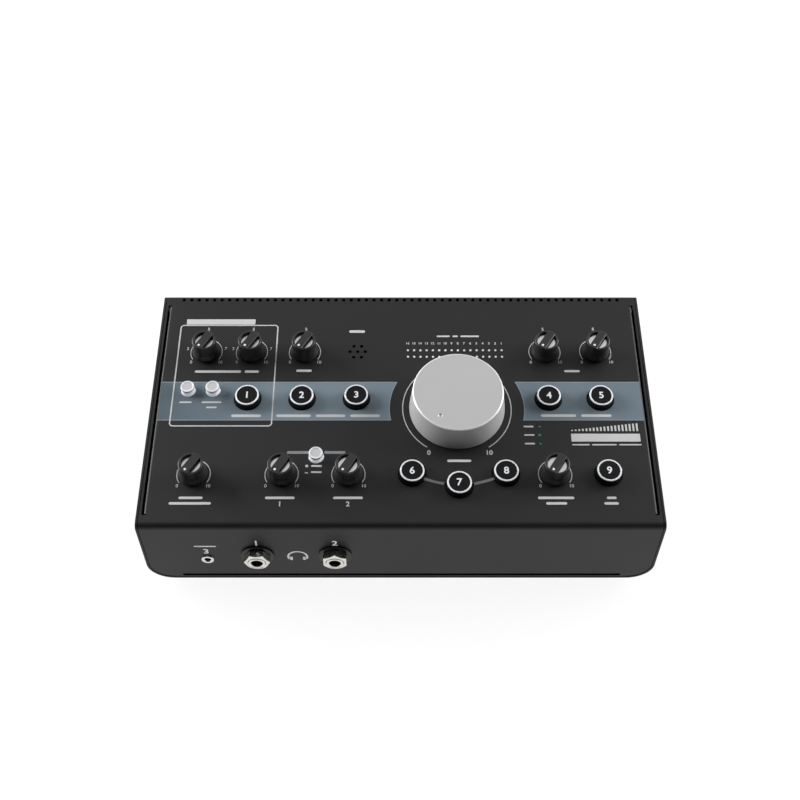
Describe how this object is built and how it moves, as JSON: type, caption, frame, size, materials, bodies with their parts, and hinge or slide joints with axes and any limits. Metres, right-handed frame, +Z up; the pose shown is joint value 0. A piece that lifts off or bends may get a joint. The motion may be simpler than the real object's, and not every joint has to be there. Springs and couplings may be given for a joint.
{
  "type": "studio monitor controller",
  "caption": "Desktop audio monitor controller with a sloping sheet-metal case, rotary knobs, round push keys, a level meter and front and rear sockets.",
  "frame": {"origin": "middle of the bounding box's base, on the table under the rubber feet", "axes": "+X to the user's right, +Y from the user to the rear sockets, +Z up"},
  "size_m": [0.28, 0.1598, 0.0839],
  "materials": {
    "case_paint": "fine-textured satin anthracite paint",
    "foot_rubber": "matte black rubber",
    "screw_steel": "black zinc",
    "board_green": "green solder mask",
    "bright_nickel": "bright nickel plating",
    "component_black": "matte black moulding",
    "ribbon_grey": "grey ribbon cable",
    "mic_rubber": "soft black boot",
    "light_lens": "milky light pipe",
    "collar_black": "black washer",
    "knob_black": "satin black with grey top crescents",
    "volume_silver": "bead-blasted anodised silver with a bright chamfer",
    "key_black": "black with a light ring",
    "push_white": "off-white plastic"
  },
  "bodies": {
    "chassis": {"base_tray": "case_paint", "front_plate": "case_paint", "top_cover": "case_paint", "rear_panel": "case_paint", "rubber_feet": "foot_rubber", "case_screws": "screw_steel", "main_board": "board_green", "control_board": "board_green", "board_standoffs": "bright_nickel", "board_components": "component_black", "ribbon_cable": "ribbon_grey", "knob_pots": "component_black", "volume_pot": "component_black", "key_switches": "component_black", "latch_switches": "component_black", "microphone_capsule": "mic_rubber", "light_pipes": "light_lens", "stereo_jacks": "component_black", "jack_ferrules": "bright_nickel", "panel_nuts": "bright_nickel", "phones_collars": "collar_black", "aux_jack": "component_black", "combo_housings": "component_black", "combo_inserts": "component_black", "usb_socket": "bright_nickel", "power_inlet": "component_black", "power_switch_frame": "component_black"},
    "preamp_1_dial": {"preamp_1_knob": "knob_black", "preamp_1_shaft": "bright_nickel"},
    "preamp_2_dial": {"preamp_2_knob": "knob_black", "preamp_2_shaft": "bright_nickel"},
    "input_trim_dial": {"input_trim_knob": "knob_black", "input_trim_shaft": "bright_nickel"},
    "monitor_a_trim_dial": {"monitor_a_trim_knob": "knob_black", "monitor_a_trim_shaft": "bright_nickel"},
    "monitor_b_trim_dial": {"monitor_b_trim_knob": "knob_black", "monitor_b_trim_shaft": "bright_nickel"},
    "direct_blend_dial": {"direct_blend_knob": "knob_black", "direct_blend_shaft": "bright_nickel"},
    "phones_1_level_dial": {"phones_1_level_knob": "knob_black", "phones_1_level_shaft": "bright_nickel"},
    "phones_2_level_dial": {"phones_2_level_knob": "knob_black", "phones_2_level_shaft": "bright_nickel"},
    "talkback_level_dial": {"talkback_level_knob": "knob_black", "talkback_level_shaft": "bright_nickel"},
    "volume_dial": {"volume_knob": "volume_silver", "volume_shaft": "bright_nickel"},
    "source_1_2_cap": {"source_1_2_key": "key_black"},
    "source_3_4_cap": {"source_3_4_key": "key_black"},
    "source_usb_cap": {"source_usb_key": "key_black"},
    "monitor_a_cap": {"monitor_a_key": "key_black"},
    "monitor_b_cap": {"monitor_b_key": "key_black"},
    "mono_cap": {"mono_key": "key_black"},
    "mute_cap": {"mute_key": "key_black"},
    "dim_cap": {"dim_key": "key_black"},
    "talkback_cap": {"talkback_key": "key_black"},
    "preamp_1_push_cap": {"preamp_1_push_button": "push_white"},
    "preamp_2_push_cap": {"preamp_2_push_button": "push_white"},
    "phones_source_push_cap": {"phones_source_push_button": "push_white"},
    "power_rocker_cap": {"power_rocker": "component_black"}
  },
  "joints": [
    {"name": "preamp_1_turn", "type": "hinge", "parent": "chassis", "child": "preamp_1_dial", "pos_m": [-0.1117, 0.03666, 0.06784], "axis": [0, -0.1045, 0.9945], "range_deg": [-295, 0]},
    {"name": "preamp_2_turn", "type": "hinge", "parent": "chassis", "child": "preamp_2_dial", "pos_m": [-0.0856, 0.03666, 0.06784], "axis": [0, -0.1045, 0.9945], "range_deg": [-295, 0]},
    {"name": "input_trim_turn", "type": "hinge", "parent": "chassis", "child": "input_trim_dial", "pos_m": [-0.0551, 0.03666, 0.06784], "axis": [0, -0.1045, 0.9945], "range_deg": [-295, 0]},
    {"name": "monitor_a_trim_turn", "type": "hinge", "parent": "chassis", "child": "monitor_a_trim_dial", "pos_m": [0.0828, 0.03666, 0.06784], "axis": [0, -0.1045, 0.9945], "range_deg": [-295, 0]},
    {"name": "monitor_b_trim_turn", "type": "hinge", "parent": "chassis", "child": "monitor_b_trim_dial", "pos_m": [0.112, 0.03666, 0.06784], "axis": [0, -0.1045, 0.9945], "range_deg": [-295, 0]},
    {"name": "direct_blend_turn", "type": "hinge", "parent": "chassis", "child": "direct_blend_dial", "pos_m": [-0.1117, -0.04291, 0.05948], "axis": [0, -0.1045, 0.9945], "range_deg": [-295, 0]},
    {"name": "phones_1_level_turn", "type": "hinge", "parent": "chassis", "child": "phones_1_level_dial", "pos_m": [-0.0642, -0.04291, 0.05948], "axis": [0, -0.1045, 0.9945], "range_deg": [-295, 0]},
    {"name": "phones_2_level_turn", "type": "hinge", "parent": "chassis", "child": "phones_2_level_dial", "pos_m": [-0.0282, -0.04291, 0.05948], "axis": [0, -0.1045, 0.9945], "range_deg": [-295, 0]},
    {"name": "talkback_level_turn", "type": "hinge", "parent": "chassis", "child": "talkback_level_dial", "pos_m": [0.0833, -0.04291, 0.05948], "axis": [0, -0.1045, 0.9945], "range_deg": [-295, 0]},
    {"name": "volume_turn", "type": "hinge", "parent": "chassis", "child": "volume_dial", "pos_m": [0.0314, -0.00104, 0.06388], "axis": [0, -0.1045, 0.9945], "range_deg": [-295, 0]},
    {"name": "source_1_2_press", "type": "slide", "parent": "chassis", "child": "source_1_2_cap", "axis": [0, 0.1045, -0.9945], "range_m": [0, 0.0012], "stiffness_N_per_m": 600, "springref_m": -0.001},
    {"name": "source_3_4_press", "type": "slide", "parent": "chassis", "child": "source_3_4_cap", "axis": [0, 0.1045, -0.9945], "range_m": [0, 0.0012], "stiffness_N_per_m": 600, "springref_m": -0.001},
    {"name": "source_usb_press", "type": "slide", "parent": "chassis", "child": "source_usb_cap", "axis": [0, 0.1045, -0.9945], "range_m": [0, 0.0012], "stiffness_N_per_m": 600, "springref_m": -0.001},
    {"name": "monitor_a_press", "type": "slide", "parent": "chassis", "child": "monitor_a_cap", "axis": [0, 0.1045, -0.9945], "range_m": [0, 0.0012], "stiffness_N_per_m": 600, "springref_m": -0.001},
    {"name": "monitor_b_press", "type": "slide", "parent": "chassis", "child": "monitor_b_cap", "axis": [0, 0.1045, -0.9945], "range_m": [0, 0.0012], "stiffness_N_per_m": 600, "springref_m": -0.001},
    {"name": "mono_press", "type": "slide", "parent": "chassis", "child": "mono_cap", "axis": [0, 0.1045, -0.9945], "range_m": [0, 0.0012], "stiffness_N_per_m": 600, "springref_m": -0.001},
    {"name": "mute_press", "type": "slide", "parent": "chassis", "child": "mute_cap", "axis": [0, 0.1045, -0.9945], "range_m": [0, 0.0012], "stiffness_N_per_m": 600, "springref_m": -0.001},
    {"name": "dim_press", "type": "slide", "parent": "chassis", "child": "dim_cap", "axis": [0, 0.1045, -0.9945], "range_m": [0, 0.0012], "stiffness_N_per_m": 600, "springref_m": -0.001},
    {"name": "talkback_press", "type": "slide", "parent": "chassis", "child": "talkback_cap", "axis": [0, 0.1045, -0.9945], "range_m": [0, 0.0012], "stiffness_N_per_m": 600, "springref_m": -0.001},
    {"name": "preamp_1_push", "type": "slide", "parent": "chassis", "child": "preamp_1_push_cap", "axis": [0, 0.1045, -0.9945], "range_m": [0, 0.0025]},
    {"name": "preamp_2_push", "type": "slide", "parent": "chassis", "child": "preamp_2_push_cap", "axis": [0, 0.1045, -0.9945], "range_m": [0, 0.0025]},
    {"name": "phones_source_push", "type": "slide", "parent": "chassis", "child": "phones_source_push_cap", "axis": [0, 0.1045, -0.9945], "range_m": [0, 0.0025]},
    {"name": "power_rock", "type": "hinge", "parent": "chassis", "child": "power_rocker_cap", "pos_m": [0.114, 0.07323, 0.0335], "axis": [1, 0, 0], "range_deg": [0, 16]}
  ]
}
